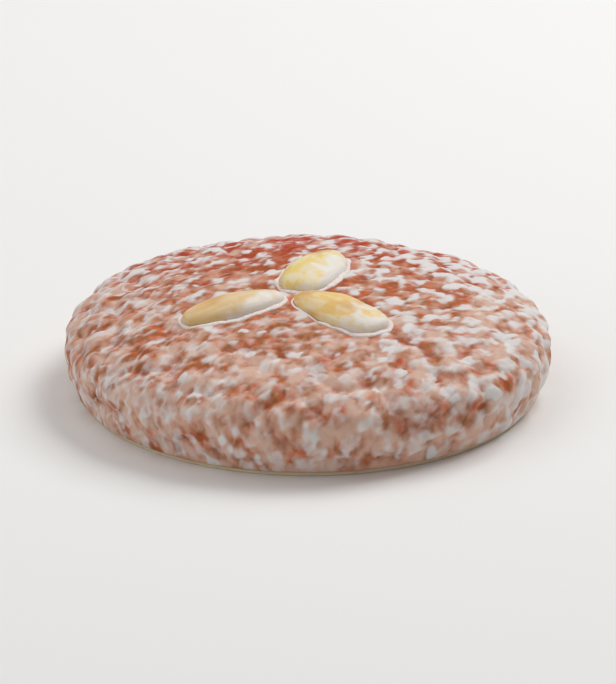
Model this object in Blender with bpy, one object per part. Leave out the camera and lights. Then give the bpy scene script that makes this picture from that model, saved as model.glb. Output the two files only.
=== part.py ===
"""A round, domed lebkuchen on a thin wafer, with three blanched almonds pressed into its top.

Metres, +Z up. The origin is the middle of the wafer's underside, where the piece rests. Seen from
the front, which is -Y, one almond points left, one to the front right and one to the back right.

Five solids: crust, almond_left, almond_right, almond_back, and under them the wafer. The crust is
one baked body with its lumps and crags as relief. Each almond lies in a seat cut to its own form.
"""

import itertools
import math

import bmesh
import bpy
import numpy as np
from mathutils import Matrix, Vector, geometry

MM = 0.001

# ---- The whole ----
DIAMETER = 90 * MM  # across the widest line of the crust
DOME_RISE = 10.2 * MM  # from the widest line up to the middle of the top
WIDEST_HEIGHT = 9.6 * MM  # of the widest line above the table
TOUCHING_GAP = 0.3 * MM  # between pieces that touch

# ---- Wafer ----
WAFER_DIAMETER = 84 * MM
WAFER_THICKNESS = 0.8 * MM
WAFER_SIDES = 72
WAFER_EDGE = 0.2 * MM  # bevel of its two rims

# ---- Crust ----
FOOT_DIAMETER = 85.4 * MM  # where the side comes down to the wafer
FOOT_HEIGHT = WAFER_THICKNESS + TOUCHING_GAP
DOME_POWER = 2.15  # 2 is a plain ellipse, more is flatter on top and rounder at the shoulder
CRUST_POINTS = 3700  # spread evenly over the top and the side
FOOT_POINTS = 180  # round the edge of the flat underside

# ---- Crust relief: size across, and depth ----
SWELL_SIZE, SWELL_DEPTH = 24 * MM, 0.5 * MM  # the slow unevenness of a hand-formed round
LUMP_SIZE, LUMP_DEPTH = 5.2 * MM, 1.5 * MM  # nut-paste lumps, deepest round the shoulder
CRAG_SIZE, CRAG_DEPTH = 3.0 * MM, 0.4 * MM  # fine crags everywhere
TOP_LUMP_SHARE = 0.4  # how much of the lumps' depth is left in the middle of the top
SHOULDER_START, SHOULDER_FULL = 0.55, 0.85  # share of the radius over which the lumps deepen
FOOT_FADE = 2.5 * MM  # the relief dies out over this length above the underside
MEAN_LUMP = 0.85  # where the lumps meet the smooth form: their caps make its outline
SEED = 41

# ---- Almonds: length, width, middle of the plan, bearing, and how pointed each end is ----
ALMOND_THICKNESS = 5.6 * MM
ALMOND_SINK = 0.1 * MM  # how far the almond's middle plane lies below the crust
ALMOND_RINGS = 20
ALMOND_SIDES = 18
ALMONDS = {
    "almond_left": dict(length=20.2 * MM, width=8.1 * MM, x=-13.9 * MM, y=-8.7 * MM,
                        bearing=205, inner_power=0.42, outer_power=0.38),
    "almond_right": dict(length=20.7 * MM, width=10.2 * MM, x=5.5 * MM, y=-11.5 * MM,
                         bearing=-44.5, inner_power=0.42, outer_power=0.32),
    "almond_back": dict(length=20.9 * MM, width=10.6 * MM, x=1.6 * MM, y=8.5 * MM,
                        bearing=69, inner_power=0.31, outer_power=0.45),
}

# ---- Finishes: colour (linear), roughness ----
FINISHES = {
    "glazed_crust": ((0.44, 0.20, 0.13), 0.55),
    "almond": ((0.75, 0.62, 0.38), 0.45),
    "wafer": ((0.78, 0.68, 0.50), 0.80),
}

LATTICE = 32  # cells along each side of the noise lattice, after which it repeats
GOLDEN_ANGLE = math.pi * (3 - math.sqrt(5))


# ---------------------------------------------------------------- noise

def smooth_noise(points, cell, seed):
    """Gradient noise of about -0.7 to 0.7 at each point, with bumps about one cell across."""
    slopes = np.random.default_rng(seed).uniform(-1, 1, (LATTICE, LATTICE, LATTICE, 3))
    place = points / cell
    corner = np.floor(place).astype(int)
    inside = place - corner
    ease = inside**3 * (inside * (inside * 6 - 15) + 10)
    total = np.zeros(len(points))
    for step in itertools.product((0, 1), repeat=3):
        slope = slopes[tuple(((corner + step) % LATTICE).T)]
        weight = np.prod(np.where(step, ease, 1 - ease), axis=1)
        total += weight * np.sum(slope * (inside - step), axis=1)
    return total


def lumps(points, cell, seed):
    """1 in the middle of each rounded lump, less by the squared distance from it, at least 0."""
    middles = np.random.default_rng(seed).random((LATTICE, LATTICE, LATTICE, 3))
    place = points / cell
    corner = np.floor(place).astype(int)
    inside = place - corner
    nearest = np.ones(len(points))
    for step in itertools.product((-1, 0, 1), repeat=3):
        offset = middles[tuple(((corner + step) % LATTICE).T)] + step - inside
        nearest = np.minimum(nearest, np.sum(offset**2, axis=1))
    return 1 - nearest


# ---------------------------------------------------------------- crust

def dome_height(radius):
    """Height of the smooth dome at a distance from its axis."""
    share = np.clip(radius / (DIAMETER / 2), 0, 1)
    return WIDEST_HEIGHT + DOME_RISE * (1 - share**DOME_POWER) ** (1 / DOME_POWER)


def crust_profile():
    """Radius and height down the smooth crust, from the middle of the top to the foot."""
    turn = np.linspace(0, math.pi / 2, 200)
    dome_radius = DIAMETER / 2 * np.sin(turn) ** (2 / DOME_POWER)
    drop = np.linspace(0, 1, 60)[1:]
    side_radius = DIAMETER / 2 + (FOOT_DIAMETER - DIAMETER) / 2 * drop**2
    side_height = WIDEST_HEIGHT - (WIDEST_HEIGHT - FOOT_HEIGHT) * drop
    radius = np.concatenate([dome_radius, side_radius])
    height = np.concatenate([dome_height(dome_radius), side_height])
    return radius, height


def crust_map():
    """Flat map of the crust: points and triangles on a disc of radius 1, whose edge is the foot.

    Inside it the points lie on a sunflower's spiral, which spaces them evenly.
    """
    step = np.arange(CRUST_POINTS)
    spacing = math.sqrt(math.pi / CRUST_POINTS)
    reach = (1 - spacing / 2) * np.sqrt((step + 0.5) / CRUST_POINTS)
    turn = step * GOLDEN_ANGLE
    inner = np.stack([reach * np.cos(turn), reach * np.sin(turn)], axis=1)
    turn = np.arange(FOOT_POINTS) * (2 * math.pi / FOOT_POINTS)
    foot = np.stack([np.cos(turn), np.sin(turn)], axis=1)
    flat = [Vector(point) for point in np.concatenate([foot, inner])]
    points, _, triangles, *_ = geometry.delaunay_2d_cdt(flat, [], [], 0, 1e-6)
    return np.array([tuple(point) for point in points]), triangles


def smooth_crust(flat):
    """Points of the smooth crust for points of the flat map, with their outward normals."""
    radius, height = crust_profile()
    steps = np.hypot(np.diff(radius), np.diff(height))
    along = np.concatenate([[0], np.cumsum(steps)])
    reach = np.hypot(flat[:, 0], flat[:, 1]) * along[-1]
    out = flat / np.maximum(np.hypot(flat[:, 0], flat[:, 1]), 1e-9)[:, None]
    point_radius = np.interp(reach, along, radius)
    point_height = np.interp(reach, along, height)
    outward = np.interp(reach, along, -np.gradient(height, along))
    upward = np.interp(reach, along, np.gradient(radius, along))
    points = np.column_stack([out * point_radius[:, None], point_height])
    normals = np.column_stack([out * outward[:, None], upward])
    return points, normals, along[-1] - reach


def crust_relief(points, to_foot):
    """How far each point of the smooth crust is moved outwards, in metres."""
    share = np.hypot(points[:, 0], points[:, 1]) / (DIAMETER / 2)
    shoulder = np.clip((share - SHOULDER_START) / (SHOULDER_FULL - SHOULDER_START), 0, 1)
    lump_depth = LUMP_DEPTH * (TOP_LUMP_SHARE + (1 - TOP_LUMP_SHARE) * shoulder)
    relief = SWELL_DEPTH * smooth_noise(points, SWELL_SIZE, SEED)
    relief += lump_depth * (lumps(points, LUMP_SIZE, SEED + 1) - MEAN_LUMP)
    relief += CRAG_DEPTH * smooth_noise(points, CRAG_SIZE, SEED + 2)
    return relief * np.clip(to_foot / FOOT_FADE, 0, 1)


def make_crust():
    """The baked body: relief on a dome with a rounded side, closed by its flat underside."""
    flat, triangles = crust_map()
    points, normals, to_foot = smooth_crust(flat)
    points = points + normals * crust_relief(points, to_foot)[:, None]
    middle = (points.max(axis=0) + points.min(axis=0)) / 2
    points[:, :2] -= middle[:2]
    underside = list(range(FOOT_POINTS))[::-1]
    return new_object("crust", points, [*triangles, underside], "glazed_crust")


# ---------------------------------------------------------------- almonds

def almond_form(length, width, inner_power, outer_power, **_):
    """Points and faces of an almond along X, its outer end at +X.

    Its half width is the product of a power of the distance to each end. The blunter end has the
    smaller power. Rings of oval sections lie between two end points.
    """
    peak = (inner_power - outer_power) / (inner_power + outer_power)
    widest = (1 + peak) ** inner_power * (1 - peak) ** outer_power
    turn = np.linspace(0, math.pi, ALMOND_RINGS + 2)[1:-1]
    along = -np.cos(turn)
    swell = (1 + along) ** inner_power * (1 - along) ** outer_power / widest
    round_turn = np.arange(ALMOND_SIDES) * (2 * math.pi / ALMOND_SIDES)
    rings = np.stack([
        np.outer(along * length / 2, np.ones(ALMOND_SIDES)),
        np.outer(swell * width / 2, np.cos(round_turn)),
        np.outer(swell * ALMOND_THICKNESS / 2, np.sin(round_turn)),
    ], axis=-1).reshape(-1, 3)
    points = np.concatenate([rings, [[-length / 2, 0, 0], [length / 2, 0, 0]]])
    start, end = len(rings), len(rings) + 1
    faces = []
    for side in range(ALMOND_SIDES):
        after = (side + 1) % ALMOND_SIDES
        last = (ALMOND_RINGS - 1) * ALMOND_SIDES
        faces.append((start, after, side))
        faces.append((end, last + side, last + after))
        for ring in range(0, last, ALMOND_SIDES):
            here, there = ring + side, ring + after
            faces.append((here, there, there + ALMOND_SIDES, here + ALMOND_SIDES))
    return points, faces


def almond_place(x, y, bearing, **_):
    """Matrix that lays an almond on the dome, along its slope, pointing to its bearing."""
    radius = math.hypot(x, y)
    step = 0.1 * MM
    slope = (dome_height(radius + step) - dome_height(radius - step)) / (2 * step)
    upward = Vector((-slope * x / radius, -slope * y / radius, 1)).normalized()
    turn = math.radians(bearing)
    forward = Vector((math.cos(turn), math.sin(turn), 0))
    forward = (forward - upward * forward.dot(upward)).normalized()
    axes = Matrix((forward, upward.cross(forward), upward)).transposed()
    middle = Vector((x, y, dome_height(radius))) - upward * ALMOND_SINK
    return Matrix.Translation(middle) @ axes.to_4x4()


def make_almond(name, crust):
    """One almond, and the seat that it presses into the crust."""
    sizes = ALMONDS[name]
    points, faces = almond_form(**sizes)
    place = almond_place(**sizes)
    almond = new_object(name, points, faces, "almond")
    almond.matrix_world = place
    cutter = new_object(f"seat_of_{name}", points, faces, "glazed_crust")
    cutter.matrix_world = place
    grow(cutter.data, TOUCHING_GAP)
    cutter.hide_render = True
    cutter.display_type = "WIRE"
    cut = crust.modifiers.new(f"Seat of {name}", "BOOLEAN")
    cut.operation = "DIFFERENCE"
    cut.solver = "EXACT"
    cut.object = cutter


def grow(mesh, gap):
    """Moves every face of a mesh outwards by about gap."""
    shape = bmesh.new()
    shape.from_mesh(mesh)
    shape.normal_update()
    moves = [vertex.normal * (gap * vertex.calc_shell_factor()) for vertex in shape.verts]
    for vertex, move in zip(shape.verts, moves):
        vertex.co += move
    shape.to_mesh(mesh)
    shape.free()


# ---------------------------------------------------------------- wafer

def make_wafer():
    """The thin disc that the dough is baked on, and that the piece rests on."""
    shape = bmesh.new()
    bmesh.ops.create_cone(shape, cap_ends=True, segments=WAFER_SIDES, depth=WAFER_THICKNESS,
                          radius1=WAFER_DIAMETER / 2, radius2=WAFER_DIAMETER / 2,
                          matrix=Matrix.Translation((0, 0, WAFER_THICKNESS / 2)))
    mesh = bpy.data.meshes.new("wafer")
    shape.to_mesh(mesh)
    shape.free()
    wafer = link("wafer", mesh, "wafer")
    edge = wafer.modifiers.new("Soft rim", "BEVEL")
    edge.width = WAFER_EDGE
    edge.segments = 1


# ---------------------------------------------------------------- objects

def new_object(name, points, faces, finish):
    """A mesh object from points and faces."""
    mesh = bpy.data.meshes.new(name)
    mesh.from_pydata(np.asarray(points).tolist(), [], faces)
    mesh.validate()
    return link(name, mesh, finish)


def link(name, mesh, finish):
    """Puts a mesh in the scene as an object, smooth and in its finish."""
    thing = bpy.data.objects.new(name, mesh)
    bpy.context.scene.collection.objects.link(thing)
    mesh.materials.append(material(finish))
    mesh.shade_smooth()
    mesh.set_sharp_from_angle(angle=math.radians(50))
    return thing


def material(name):
    """A plain Principled material, made once for each finish."""
    if name in bpy.data.materials:
        return bpy.data.materials[name]
    colour, roughness = FINISHES[name]
    made = bpy.data.materials.new(name)
    made.use_nodes = True
    shader = made.node_tree.nodes["Principled BSDF"]
    shader.inputs["Base Color"].default_value = (*colour, 1)
    shader.inputs["Roughness"].default_value = roughness
    return made


def main():
    for thing in list(bpy.data.objects):
        bpy.data.objects.remove(thing, do_unlink=True)
    make_wafer()
    crust = make_crust()
    for name in ALMONDS:
        make_almond(name, crust)


main()
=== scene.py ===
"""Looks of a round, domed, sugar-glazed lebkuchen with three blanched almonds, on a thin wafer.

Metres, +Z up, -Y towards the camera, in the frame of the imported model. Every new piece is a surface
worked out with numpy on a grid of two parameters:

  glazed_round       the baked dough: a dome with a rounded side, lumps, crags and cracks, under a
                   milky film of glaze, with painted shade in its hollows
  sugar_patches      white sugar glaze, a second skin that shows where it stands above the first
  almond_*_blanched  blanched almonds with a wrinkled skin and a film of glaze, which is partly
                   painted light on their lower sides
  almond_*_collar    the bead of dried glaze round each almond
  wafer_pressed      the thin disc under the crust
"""

import logging
import math
from dataclasses import dataclass, field
from enum import Enum, IntEnum
from itertools import product
from typing import Any, Mapping, Sequence

import bpy
import numpy as np
from mathutils import Euler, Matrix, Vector


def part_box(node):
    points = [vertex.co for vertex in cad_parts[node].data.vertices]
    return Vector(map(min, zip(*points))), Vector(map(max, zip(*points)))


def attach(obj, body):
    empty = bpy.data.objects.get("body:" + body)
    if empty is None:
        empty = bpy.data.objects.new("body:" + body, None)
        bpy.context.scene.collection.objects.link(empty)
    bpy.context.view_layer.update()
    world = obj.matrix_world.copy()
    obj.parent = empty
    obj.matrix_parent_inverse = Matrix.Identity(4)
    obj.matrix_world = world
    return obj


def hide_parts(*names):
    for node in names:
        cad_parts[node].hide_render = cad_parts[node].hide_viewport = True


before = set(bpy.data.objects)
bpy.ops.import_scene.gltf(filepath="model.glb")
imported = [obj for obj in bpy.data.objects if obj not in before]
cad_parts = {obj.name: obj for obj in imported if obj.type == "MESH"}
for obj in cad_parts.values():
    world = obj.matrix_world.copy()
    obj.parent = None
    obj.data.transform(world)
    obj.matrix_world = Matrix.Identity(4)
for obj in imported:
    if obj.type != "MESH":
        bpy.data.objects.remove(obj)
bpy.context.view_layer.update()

MM = 0.001
BODY = "root"
TILT = np.array(Euler((0.6, 0.9, 0.4)).to_matrix())  # turns a pattern's lattice off the axes
BUMP_SPREAD = 0.22  # how much layered bumps usually vary about 0
LUMP_LEVEL = 0.7  # the usual height of lumps
LUMP_SPREAD = 0.18  # how much they usually vary about it
LAYER_SEED = 101  # what each finer layer of a pattern adds to its seed
AXIS_SEED = 7  # what the moves along each axis add to a pattern's seed
TINY = 1e-9  # keeps a division away from 0

Array = np.ndarray
Colour = tuple[float, float, float, float]
Span = tuple[float, float]
Triple = tuple[float, float, float]

log = logging.getLogger("lebkuchen")


class Slot(Enum):
    """Names for the materials' slots."""

    CRUST = "glazed_crust"
    ALMOND = "almond"
    WAFER = "wafer"


class AlmondDraw(IntEnum):
    """What each of an almond's patterns adds to its seed."""

    WRINKLES = 0
    DENTS = 1
    BLOTS = 2
    STAINS = 3
    COLLAR = 4


def srgb(red: int, green: int, blue: int) -> Colour:
    """A linear colour from the red, green and blue, 0 to 255, that a picture would show."""
    linear = [((part / 255 + 0.055) / 1.055) ** 2.4 for part in (red, green, blue)]
    return (linear[0], linear[1], linear[2], 1.0)


def ramp(value: Array, low: float, high: float) -> Array:
    """0 below low, 1 above high, and a smooth S between them."""
    share = np.clip((value - low) / (high - low), 0, 1)
    return share * share * (3 - 2 * share)


def turned_about(count: int) -> Array:
    """Angles in even steps round a full turn."""
    return np.arange(count) * (2 * math.pi / count)


def unit_rows(vectors: Array) -> Array:
    """Each row brought to length 1."""
    return vectors / np.maximum(np.linalg.norm(vectors, axis=1), TINY)[:, None]


# ------------------------------------------------------------------ patterns in space

@dataclass(frozen=True)
class Flakes:
    """How scattered flakes vary, each range from the least to the most.

    Args:
        size: The side of a lattice cell, which has one flake at the most.
        halves: Half a flake's width, in cells.
        strengths: How strong a flake is. Where this is 0 or less, its cell stays empty.
        edges: The share of its half width over which a flake fades out.
        long_way: What distances along a flake's long way are multiplied by, to draw it out.
        squareness: The power of a flake's outline: 2 is round, and more is squarer.
    """

    size: float
    halves: Span
    strengths: Span
    edges: Span
    long_way: float = 0.65
    squareness: int = 3


@dataclass(frozen=True)
class Pattern:
    """Repeatable noise at points in space, on a lattice of random values.

    Args:
        seed: Chooses the random values.
        cells: How many lattice cells there are along each side before it repeats.
    """

    seed: int
    cells: int = 32

    def _lattice(self, points: Array, size: float) -> tuple[Array, Array]:
        """Each point's lattice cell, and its place in that cell from 0 to 1."""
        corner = np.floor(points / size).astype(int)
        return corner, points / size - corner

    def _at(self, table: Array, corner: Array, step: tuple[int, int, int]) -> Array:
        """The table's entry for the lattice cell a step away from each corner."""
        return table[tuple(((corner + step) % self.cells).T)]

    def bumps(self, points: Array, size: float) -> Array:
        """Gradient noise.

        Each lattice corner has a random slope. A point takes the height that the slopes of its
        eight corners give it, weighted by how near they are along an S curve.

        Args:
            points: Where to read the noise.
            size: The side of a lattice cell.

        Returns:
            Heights of about -0.7 to 0.7.
        """
        slopes = np.random.default_rng(self.seed).uniform(-1, 1, (self.cells,) * 3 + (3,))
        corner, inside = self._lattice(points, size)
        ease = inside**3 * (inside * (inside * 6 - 15) + 10)
        total = np.zeros(len(points))
        for step in product((0, 1), repeat=3):
            weight = np.prod(np.where(step, ease, 1 - ease), axis=1)
            total += weight * np.sum(self._at(slopes, corner, step) * (inside - step), axis=1)
        return total

    def lumps(self, points: Array, size: float) -> Array:
        """Rounded lumps: 1 less the squared distance, in cells, to the nearest random middle.

        Args:
            points: Where to read the pattern.
            size: The side of a lattice cell, which has one middle.

        Returns:
            Heights from 0 to 1.
        """
        middles = np.random.default_rng(self.seed).random((self.cells,) * 3 + (3,))
        corner, inside = self._lattice(points, size)
        nearest = np.ones(len(points))
        for step in product((-1, 0, 1), repeat=3):
            offset = self._at(middles, corner, step) + step - inside
            nearest = np.minimum(nearest, np.sum(offset**2, axis=1))
        return 1 - nearest

    def islands(self, points: Array, flakes: Flakes, reach: Array) -> Array:
        """Scattered angular flakes.

        Each lattice cell has one: a block with rounded corners, turned at random, longer one way,
        with its own size, strength and width of edge. A point takes the strongest flake.

        Args:
            points: Where to read the pattern.
            flakes: How the flakes vary.
            reach: What the flakes' sizes are multiplied by at each point.

        Returns:
            A flake's strength in its middle, 1 at the most, and 0 past its rim.
        """
        random = np.random.default_rng(self.seed)
        cube = (self.cells,) * 3
        middles = random.random(cube + (3,))
        turns = np.linalg.qr(random.normal(size=cube + (3, 3)))[0]
        halves = random.uniform(*flakes.halves, cube)
        strengths = np.maximum(random.uniform(*flakes.strengths, cube), 0)
        edges = random.uniform(*flakes.edges, cube)
        corner, inside = self._lattice(points, flakes.size)
        stretch = np.array([flakes.long_way, 1.0, 1.0])
        power = flakes.squareness
        best = np.zeros(len(points))
        for step in product((-1, 0, 1), repeat=3):
            offset = self._at(middles, corner, step) + step - inside
            turned = np.einsum("pij,pj->pi", self._at(turns, corner, step), offset)
            gap = np.sum(np.abs(turned * stretch) ** power, axis=1) ** (1 / power)
            height = 1 - gap / (self._at(halves, corner, step) * reach)
            edge = self._at(edges, corner, step)
            best = np.maximum(best, ramp(height, 0.0, edge) * self._at(strengths, corner, step))
        return np.minimum(best, 1)

    def veins(self, points: Array, size: float, width: float) -> Array:
        """Thin wavy lines, 1 along the middle, where layered bumps pass through 0."""
        return np.clip(1 - np.abs(self.layered(points, size)) / width, 0, 1)

    def layered(self, points: Array, size: float, layers: int = 2) -> Array:
        """Bumps with finer ones added, each layer half the size and half the height.

        Args:
            points: Where to read the noise.
            size: The side of the first layer's cells.
            layers: How many layers there are.

        Returns:
            Heights that vary about 0 by BUMP_SPREAD.
        """
        total = np.zeros(len(points))
        for layer in range(layers):
            finer = Pattern(self.seed + LAYER_SEED * layer, self.cells)
            total += finer.bumps(points, size / 2**layer) / 2**layer
        return total

    def even(self, points: Array, size: float, layers: int = 2) -> Array:
        """Layered bumps over their spread, so that they usually vary by 1 about 0."""
        return self.layered(points, size, layers) / BUMP_SPREAD

    def warped(self, points: Array, size: float, reach: float) -> Array:
        """The points moved about, along each axis by bumps of its own.

        Args:
            points: The points to move.
            size: The side of the bumps' lattice cells.
            reach: How far a bump of 1 would move a point.

        Returns:
            The moved points.
        """
        moves = [Pattern(self.seed + AXIS_SEED * axis, self.cells).bumps(points, size)
                 for axis in (1, 2, 3)]
        return points + reach * np.stack(moves, axis=1)


# ------------------------------------------------------------------ surfaces

def disc_grid(count: int) -> tuple[Array, Array, Array]:
    """A square grid laid on a disc of radius 1, so that its cells stay about as large.

    The larger of a point's two distances from the middle lines becomes its radius, and the ratio
    of the two its turn within a quarter.

    Args:
        count: Points along each side of the square.

    Returns:
        The points, the four corners of each cell, and the indices round the rim, anticlockwise.
    """
    line = np.linspace(-1, 1, count)
    across, up = np.meshgrid(line, line)
    wide = np.abs(across) >= np.abs(up)
    reach = np.where(wide, across, up)
    safe = np.where(reach == 0, 1, reach)
    turn = np.where(wide, math.pi / 4 * up / safe, math.pi / 2 - math.pi / 4 * across / safe)
    flat = np.stack([reach * np.cos(turn), reach * np.sin(turn)], axis=-1).reshape(-1, 2)
    index = np.arange(count * count).reshape(count, count)
    cells = np.stack([index[:-1, :-1], index[:-1, 1:], index[1:, 1:], index[1:, :-1]], axis=-1)
    rim = np.concatenate([index[0, :-1], index[:-1, -1], index[-1, :0:-1], index[:0:-1, 0]])
    return flat, cells.reshape(-1, 4), rim


def tube_faces(rings: int, sides: int, closed: bool) -> Array:
    """The cells between rings of points.

    Args:
        rings: How many rings there are.
        sides: How many points each ring has.
        closed: Whether the last ring is joined to the first.

    Returns:
        The four corners of each cell.
    """
    ring = np.arange(rings if closed else rings - 1)[:, None]
    side = np.arange(sides)[None, :]
    after_ring, after_side = (ring + 1) % rings, (side + 1) % sides
    corners = [ring * sides + side, ring * sides + after_side,
               after_ring * sides + after_side, after_ring * sides + side]
    return np.stack(corners, axis=-1).reshape(-1, 4)


def fan_faces(ring: Array, hub: int) -> Array:
    """Triangles from a ring to its hub, facing the side where the ring runs anticlockwise."""
    return np.column_stack([ring, np.roll(ring, -1), np.full(len(ring), hub)])


@dataclass
class Skin:
    """Points and faces of a piece, with the values that its finish reads at each point.

    Args:
        points: The points' places.
        faces: Tables of faces, each row the indices of one face's corners.
        values: A number at each point, by its name.
    """

    points: Array
    faces: Sequence[Array]
    values: dict[str, Array] = field(default_factory=dict)

    def build(self, name: str) -> bpy.types.Object:
        """Makes the piece's object, smooth, at the origin.

        Args:
            name: The object's name.

        Returns:
            The new object, linked to the scene.
        """
        mesh = bpy.data.meshes.new(name)
        faces = [face for table in self.faces for face in table.tolist()]
        mesh.from_pydata(self.points.tolist(), [], faces)
        for label, value in self.values.items():
            layer = mesh.attributes.new(label, "FLOAT", "POINT")
            layer.data.foreach_set("value", np.ascontiguousarray(value, dtype=np.float32))
        mesh.shade_smooth()
        piece = bpy.data.objects.new(name, mesh)
        bpy.context.scene.collection.objects.link(piece)
        return piece

    def only(self, kept: Array) -> "Skin":
        """The skin cut down to the faces that have a kept point.

        Args:
            kept: Whether each point is kept.

        Returns:
            The smaller skin, without loose points.
        """
        faces = [table[kept[table].any(axis=1)] for table in self.faces]
        used = np.unique(np.concatenate([table.ravel() for table in faces]))
        place = np.zeros(len(self.points), dtype=int)
        place[used] = np.arange(len(used))
        values = {label: value[used] for label, value in self.values.items()}
        return Skin(self.points[used], [place[table] for table in faces], values)

    def put(self, name: str, material: bpy.types.Material, slot: Slot,
            nodes: Sequence[str] = ()) -> bpy.types.Object:
        """Builds the piece, in its finish, on the body that it rides on.

        Args:
            name: Its name.
            material: Its finish.
            slot: The slot for that finish. Not used.
            nodes: The CAD nodes that it stands for.

        Returns:
            The piece.
        """
        piece = self.build(name)
        piece.data.materials.append(material)
        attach(piece, BODY)
        if nodes:
            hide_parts(*nodes)
        return piece


# ------------------------------------------------------------------ shader maths

class Socket:
    """A shader value whose operators add Math nodes to its tree."""

    def __init__(self, recipe: "Recipe", output: bpy.types.NodeSocket) -> None:
        """Wraps an output socket of a recipe's tree."""
        self.recipe = recipe
        self.output = output

    def _with(self, operation: str, first: Any, second: Any) -> "Socket":
        """A Math node on two values."""
        node = self.recipe.node("ShaderNodeMath", {"operation": operation}, {0: first, 1: second})
        return Socket(self.recipe, node.outputs[0])

    def __add__(self, other: Any) -> "Socket":
        """self + other."""
        return self._with("ADD", self, other)

    __radd__ = __add__

    def __sub__(self, other: Any) -> "Socket":
        """self - other."""
        return self._with("SUBTRACT", self, other)

    def __rsub__(self, other: Any) -> "Socket":
        """other - self."""
        return self._with("SUBTRACT", other, self)

    def __mul__(self, other: Any) -> "Socket":
        """self * other."""
        return self._with("MULTIPLY", self, other)

    __rmul__ = __mul__

    def between(self, low: float, high: float) -> "Socket":
        """A ramp of the value, with a smooth S between its ends.

        Args:
            low: Where the ramp leaves 0.
            high: Where it reaches 1.

        Returns:
            A value from 0 to 1.
        """
        node = self.recipe.node(
            "ShaderNodeMapRange", {"interpolation_type": "SMOOTHSTEP"},
            {"Value": self, "From Min": low, "From Max": high})
        return Socket(self.recipe, node.outputs["Result"])


class Recipe:
    """A material's node tree, with one method that makes any node."""

    def __init__(self, name: str) -> None:
        """Starts a material with a Principled shader.

        Args:
            name: The material's name.
        """
        self.material = bpy.data.materials.new(name)
        self.material.use_nodes = True
        self.tree = self.material.node_tree
        self.shader = self.tree.nodes["Principled BSDF"]
        self.place = self.node("ShaderNodeTexCoord").outputs["Object"]

    def node(self, kind: str, settings: Mapping[str, Any] | None = None,
             sockets: Mapping[str | int, Any] | None = None) -> bpy.types.Node:
        """Makes a node.

        Args:
            kind: The node's type.
            settings: Its own settings, which are set first.
            sockets: A value or link for each input, by name or number.

        Returns:
            The new node.
        """
        made = self.tree.nodes.new(kind)
        for name, value in (settings or {}).items():
            setattr(made, name, value)
        for name, value in (sockets or {}).items():
            self.feed(made.inputs[name], value)
        return made

    def feed(self, socket: bpy.types.NodeSocket, value: Any) -> None:
        """Sets an input to a plain value, or links it.

        Args:
            socket: The input.
            value: A plain value, a Socket or an output.
        """
        if isinstance(value, Socket):
            value = value.output
        if isinstance(value, bpy.types.NodeSocket):
            self.tree.links.new(value, socket)
        else:
            socket.default_value = value

    def value(self, label: str) -> Socket:
        """A value that the mesh holds at each point."""
        node = self.node("ShaderNodeAttribute", {"attribute_name": label})
        return Socket(self, node.outputs["Fac"])

    def noise(self, size: float, detail: float = 2.0, roughness: float = 0.5) -> Socket:
        """Noise in the piece's own space, less its middle value of 0.5.

        Args:
            size: About how large its features are.
            detail: How many finer layers it has.
            roughness: How strong each finer layer is beside the last.

        Returns:
            Values of about -0.3 to 0.3.
        """
        node = self.node("ShaderNodeTexNoise", {}, {
            "Vector": self.place, "Scale": 1 / size, "Detail": detail, "Roughness": roughness})
        return Socket(self, node.outputs["Fac"]) - 0.5

    def mix(self, first: Any, second: Any, share: Any) -> Socket:
        """A colour between two.

        Args:
            first: The colour where the share is 0.
            second: The colour where the share is 1.
            share: How far from the first to the second.

        Returns:
            The mixed colour.
        """
        node = self.node("ShaderNodeMix", {"data_type": "RGBA"}, {0: share, 6: first, 7: second})
        return Socket(self, node.outputs[2])

    def bump(self, height: Socket, depth: float, strength: float) -> bpy.types.NodeSocket:
        """A normal bent by a height.

        Args:
            height: The height.
            depth: How many metres a height of 1 stands for.
            strength: How much of the bend is used, from 0 to 1.

        Returns:
            The normal.
        """
        node = self.node("ShaderNodeBump", {}, {
            "Height": height, "Distance": depth, "Strength": strength})
        return node.outputs["Normal"]

    def finish(self, sockets: Mapping[str, Any]) -> bpy.types.Material:
        """Feeds the shader's own inputs.

        Args:
            sockets: A value or link for each input, by name.

        Returns:
            The finished material.
        """
        for name, value in sockets.items():
            self.feed(self.shader.inputs[name], value)
        return self.material


# ------------------------------------------------------------------ finishes

@dataclass(frozen=True)
class Depths:
    """How much a finish glints, and how far light goes into it.

    Args:
        glint: Its specular level.
        share: How much of its light comes back from inside.
        radius: How far red, green and blue go, in shares of the depth.
        depth: How far light goes.
    """

    glint: float
    share: float
    radius: Triple
    depth: float

    def sockets(self) -> dict[str, Any]:
        """The shader's inputs that say this."""
        return {"Specular IOR Level": self.glint, "Subsurface Weight": self.share,
                "Subsurface Radius": self.radius, "Subsurface Scale": self.depth}


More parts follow.
